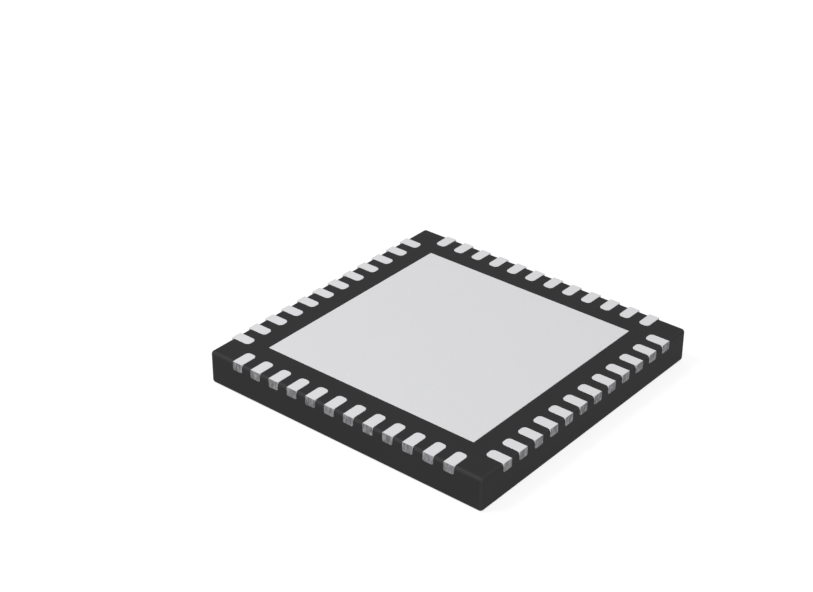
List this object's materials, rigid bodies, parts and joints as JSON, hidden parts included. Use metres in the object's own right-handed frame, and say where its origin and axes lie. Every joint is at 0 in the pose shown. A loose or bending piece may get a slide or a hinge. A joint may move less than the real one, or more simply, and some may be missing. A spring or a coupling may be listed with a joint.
{
  "type": "power management chip",
  "caption": "Square moulded quad flat no-lead chip, lying with its leads and large exposed thermal pad upward for soldering to a board.",
  "frame": {"origin": "middle of the marking face, on which the chip lies", "axes": "+Z out of the soldering side, square to the thermal pad; +X to the row that starts with lead_01, +Y to the row's end that lead_01 is on"},
  "size_m": [0.0072, 0.0072, 0.0008],
  "materials": {
    "mold_compound": "satin",
    "tin_plated_copper": "matte",
    "silicon": "gloss",
    "silver_epoxy": "matte",
    "gold_wire": "polished"
  },
  "bodies": {
    "root": {"mold_body": "mold_compound", "die_paddle": "tin_plated_copper", "die_attach": "silver_epoxy", "silicon_die": "silicon", "lead_01": "tin_plated_copper", "lead_02": "tin_plated_copper", "lead_03": "tin_plated_copper", "lead_04": "tin_plated_copper", "lead_05": "tin_plated_copper", "lead_06": "tin_plated_copper", "lead_07": "tin_plated_copper", "lead_08": "tin_plated_copper", "lead_09": "tin_plated_copper", "lead_10": "tin_plated_copper", "lead_11": "tin_plated_copper", "lead_12": "tin_plated_copper", "lead_13": "tin_plated_copper", "lead_14": "tin_plated_copper", "lead_15": "tin_plated_copper", "lead_16": "tin_plated_copper", "lead_17": "tin_plated_copper", "lead_18": "tin_plated_copper", "lead_19": "tin_plated_copper", "lead_20": "tin_plated_copper", "lead_21": "tin_plated_copper", "lead_22": "tin_plated_copper", "lead_23": "tin_plated_copper", "lead_24": "tin_plated_copper", "lead_25": "tin_plated_copper", "lead_26": "tin_plated_copper", "lead_27": "tin_plated_copper", "lead_28": "tin_plated_copper", "lead_29": "tin_plated_copper", "lead_30": "tin_plated_copper", "lead_31": "tin_plated_copper", "lead_32": "tin_plated_copper", "lead_33": "tin_plated_copper", "lead_34": "tin_plated_copper", "lead_35": "tin_plated_copper", "lead_36": "tin_plated_copper", "lead_37": "tin_plated_copper", "lead_38": "tin_plated_copper", "lead_39": "tin_plated_copper", "lead_40": "tin_plated_copper", "lead_41": "tin_plated_copper", "lead_42": "tin_plated_copper", "lead_43": "tin_plated_copper", "lead_44": "tin_plated_copper", "lead_45": "tin_plated_copper", "lead_46": "tin_plated_copper", "lead_47": "tin_plated_copper", "lead_48": "tin_plated_copper", "bond_wires_right": "gold_wire", "bond_wires_front": "gold_wire", "bond_wires_left": "gold_wire", "bond_wires_back": "gold_wire"}
  },
  "joints": []
}
